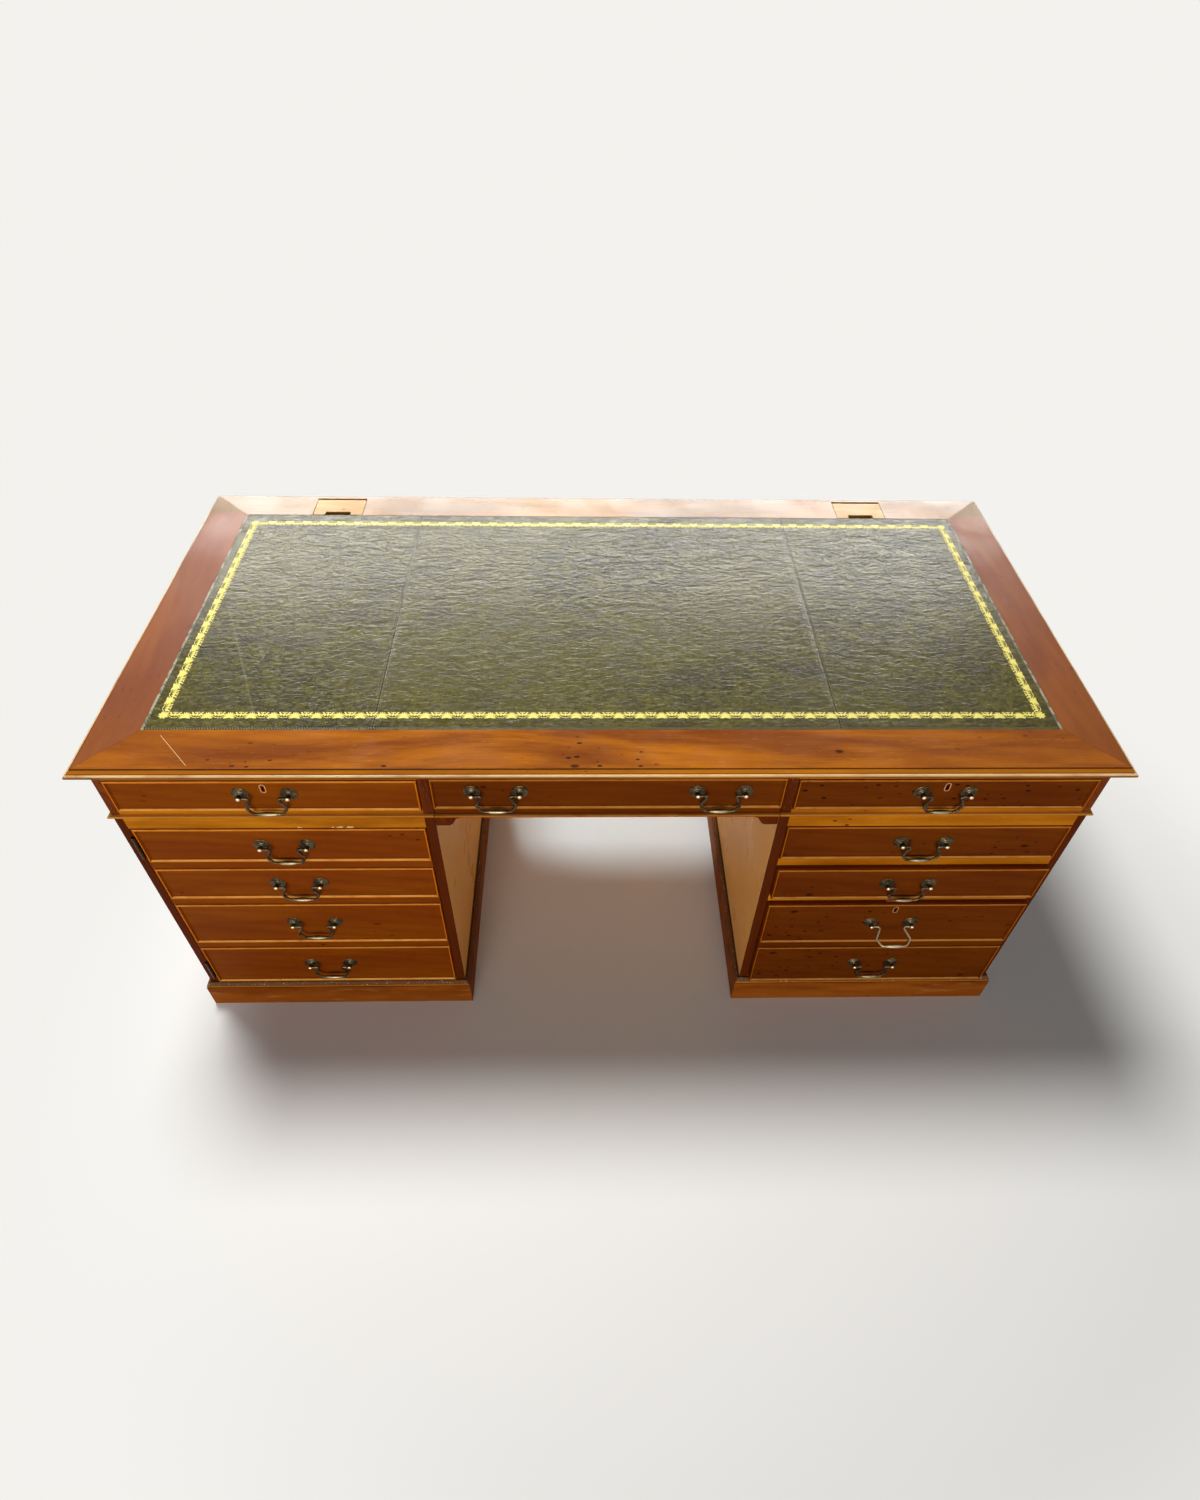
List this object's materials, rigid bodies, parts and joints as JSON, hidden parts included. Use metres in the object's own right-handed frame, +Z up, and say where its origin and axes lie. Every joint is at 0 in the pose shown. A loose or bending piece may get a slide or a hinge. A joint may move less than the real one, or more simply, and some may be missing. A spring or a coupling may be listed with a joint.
{
  "type": "partners desk",
  "caption": "Kneehole pedestal desk with tooled leather top, cable flaps, frieze drawers, a cupboard pedestal with a false-drawer door and a drawer pedestal with a filing drawer.",
  "frame": {"origin": "on the floor under the middle of the desk's carcass, midway between its ends and between its front and its back", "axes": "+X along the desk to the sitter's right, -Y towards the sitter, +Z up"},
  "size_m": [1.83, 0.9588, 0.787],
  "materials": {
    "top_wood": "polished yew veneer, warm brown, with dark pips",
    "front_wood": "polished yew veneer, warm brown, with dark pips",
    "carcass_wood": "polished yew veneer, warm brown, with dark pips",
    "moulding_wood": "polished yew veneer, warm brown, with dark pips",
    "rail_wood": "polished yew, lighter orange",
    "inner_wood": "plain, waxed",
    "leather": "olive green with gold tooling",
    "handle_brass": "dark antique brass, worn bright on the high spots",
    "brass": "satin",
    "steel": "plain"
  },
  "bodies": {
    "desk": {"top_core": "carcass_wood", "top_border": "top_wood", "leather_panels": "leather", "flap_pins": "steel", "frieze_ends": "carcass_wood", "frieze_partitions": "carcass_wood", "frieze_floors": "rail_wood", "frieze_back": "carcass_wood", "front_rails": "rail_wood", "drawer_runners": "inner_wood", "waist_mouldings": "moulding_wood", "kneehole_brackets": "carcass_wood", "pedestal_sides": "carcass_wood", "pedestal_backs": "carcass_wood", "pedestal_bottoms": "inner_wood", "plinths": "moulding_wood", "cupboard_shelf": "inner_wood", "hinge_frame_leaves": "brass", "hinge_pins": "brass"},
    "drawer_frieze_left": {"drawer_frieze_left_front": "front_wood", "drawer_frieze_left_box": "inner_wood", "drawer_frieze_left_posts": "handle_brass", "lock_frieze_left": "brass"},
    "bolt_frieze_left": {"bolt_frieze_left": "steel"},
    "drawer_frieze_centre": {"drawer_frieze_centre_front": "front_wood", "drawer_frieze_centre_box": "inner_wood", "drawer_frieze_centre_posts": "handle_brass"},
    "drawer_frieze_right": {"drawer_frieze_right_front": "front_wood", "drawer_frieze_right_box": "inner_wood", "drawer_frieze_right_posts": "handle_brass", "lock_frieze_right": "brass"},
    "bolt_frieze_right": {"bolt_frieze_right": "steel"},
    "drawer_upper": {"drawer_upper_front": "front_wood", "drawer_upper_box": "inner_wood", "drawer_upper_posts": "handle_brass"},
    "drawer_middle": {"drawer_middle_front": "front_wood", "drawer_middle_box": "inner_wood", "drawer_middle_posts": "handle_brass"},
    "drawer_filing": {"drawer_filing_front": "front_wood", "drawer_filing_box": "inner_wood", "drawer_filing_posts": "handle_brass", "lock_filing": "brass"},
    "bolt_filing": {"bolt_filing": "steel"},
    "door": {"cupboard_door": "front_wood", "door_posts": "handle_brass", "hinge_door_leaves": "brass"},
    "flap_left": {"cable_flap_left": "top_wood"},
    "flap_right": {"cable_flap_right": "top_wood"},
    "bail_frieze_left": {"bail_frieze_left": "handle_brass"},
    "bail_frieze_centre_left": {"bail_frieze_centre_left": "handle_brass"},
    "bail_frieze_centre_right": {"bail_frieze_centre_right": "handle_brass"},
    "bail_frieze_right": {"bail_frieze_right": "handle_brass"},
    "bail_door_first": {"bail_door_first": "handle_brass"},
    "bail_door_second": {"bail_door_second": "handle_brass"},
    "bail_door_third": {"bail_door_third": "handle_brass"},
    "bail_door_fourth": {"bail_door_fourth": "handle_brass"},
    "bail_upper": {"bail_upper": "handle_brass"},
    "bail_middle": {"bail_middle": "handle_brass"},
    "bail_filing_upper": {"bail_filing_upper": "handle_brass"},
    "bail_filing_lower": {"bail_filing_lower": "handle_brass"}
  },
  "joints": [
    {"name": "drawer_frieze_left_slide", "type": "slide", "parent": "desk", "child": "drawer_frieze_left", "axis": [0, -1, 0], "range_m": [0, 0.3]},
    {"name": "bolt_frieze_left_throw", "type": "slide", "parent": "drawer_frieze_left", "child": "bolt_frieze_left", "axis": [0, 0, 1], "range_m": [0, 0.006]},
    {"name": "drawer_frieze_centre_slide", "type": "slide", "parent": "desk", "child": "drawer_frieze_centre", "axis": [0, -1, 0], "range_m": [0, 0.3]},
    {"name": "drawer_frieze_right_slide", "type": "slide", "parent": "desk", "child": "drawer_frieze_right", "axis": [0, -1, 0], "range_m": [0, 0.3]},
    {"name": "bolt_frieze_right_throw", "type": "slide", "parent": "drawer_frieze_right", "child": "bolt_frieze_right", "axis": [0, 0, 1], "range_m": [0, 0.006]},
    {"name": "drawer_upper_slide", "type": "slide", "parent": "desk", "child": "drawer_upper", "axis": [0, -1, 0], "range_m": [0, 0.3]},
    {"name": "drawer_middle_slide", "type": "slide", "parent": "desk", "child": "drawer_middle", "axis": [0, -1, 0], "range_m": [-0.01, 0.29]},
    {"name": "drawer_filing_slide", "type": "slide", "parent": "desk", "child": "drawer_filing", "axis": [0, -1, 0], "range_m": [-0.01, 0.37]},
    {"name": "bolt_filing_throw", "type": "slide", "parent": "drawer_filing", "child": "bolt_filing", "axis": [0, 0, 1], "range_m": [0, 0.006]},
    {"name": "door_swing", "type": "hinge", "parent": "desk", "child": "door", "pos_m": [-0.87025, -0.4408, 0.35125], "axis": [0, 0, -1], "range_deg": [0, 170]},
    {"name": "flap_left_lift", "type": "hinge", "parent": "desk", "child": "flap_left", "pos_m": [-0.612, 0.4295, 0.78], "axis": [-1, 0, 0], "range_deg": [0, 95]},
    {"name": "flap_right_lift", "type": "hinge", "parent": "desk", "child": "flap_right", "pos_m": [0.612, 0.4295, 0.78], "axis": [-1, 0, 0], "range_deg": [0, 95]},
    {"name": "bail_frieze_left_swing", "type": "hinge", "parent": "drawer_frieze_left", "child": "bail_frieze_left", "pos_m": [-0.602, -0.449, 0.7145], "axis": [-1, 0, 0], "range_deg": [-5, 95]},
    {"name": "bail_frieze_centre_left_swing", "type": "hinge", "parent": "drawer_frieze_centre", "child": "bail_frieze_centre_left", "pos_m": [-0.199, -0.449, 0.719], "axis": [-1, 0, 0], "range_deg": [-5, 95]},
    {"name": "bail_frieze_centre_right_swing", "type": "hinge", "parent": "drawer_frieze_centre", "child": "bail_frieze_centre_right", "pos_m": [0.199, -0.449, 0.719], "axis": [-1, 0, 0], "range_deg": [-5, 95]},
    {"name": "bail_frieze_right_swing", "type": "hinge", "parent": "drawer_frieze_right", "child": "bail_frieze_right", "pos_m": [0.602, -0.449, 0.7145], "axis": [-1, 0, 0], "range_deg": [-5, 95]},
    {"name": "bail_door_first_swing", "type": "hinge", "parent": "door", "child": "bail_door_first", "pos_m": [-0.602, -0.449, 0.5727], "axis": [-1, 0, 0], "range_deg": [-5, 95]},
    {"name": "bail_door_second_swing", "type": "hinge", "parent": "door", "child": "bail_door_second", "pos_m": [-0.602, -0.449, 0.4537], "axis": [-1, 0, 0], "range_deg": [-5, 95]},
    {"name": "bail_door_third_swing", "type": "hinge", "parent": "door", "child": "bail_door_third", "pos_m": [-0.602, -0.449, 0.31638], "axis": [-1, 0, 0], "range_deg": [-5, 95]},
    {"name": "bail_door_fourth_swing", "type": "hinge", "parent": "door", "child": "bail_door_fourth", "pos_m": [-0.602, -0.449, 0.15613], "axis": [-1, 0, 0], "range_deg": [-5, 95]},
    {"name": "bail_upper_swing", "type": "hinge", "parent": "drawer_upper", "child": "bail_upper", "pos_m": [0.602, -0.449, 0.5727], "axis": [-1, 0, 0], "range_deg": [-5, 95]},
    {"name": "bail_middle_swing", "type": "hinge", "parent": "drawer_middle", "child": "bail_middle", "pos_m": [0.602, -0.459, 0.4537], "axis": [-1, 0, 0], "range_deg": [-5, 95]},
    {"name": "bail_filing_upper_swing", "type": "hinge", "parent": "drawer_filing", "child": "bail_filing_upper", "pos_m": [0.602, -0.459, 0.31638], "axis": [-1, 0, 0], "range_deg": [-73, 27]},
    {"name": "bail_filing_lower_swing", "type": "hinge", "parent": "drawer_filing", "child": "bail_filing_lower", "pos_m": [0.602, -0.459, 0.15613], "axis": [-1, 0, 0], "range_deg": [-5, 95]}
  ]
}
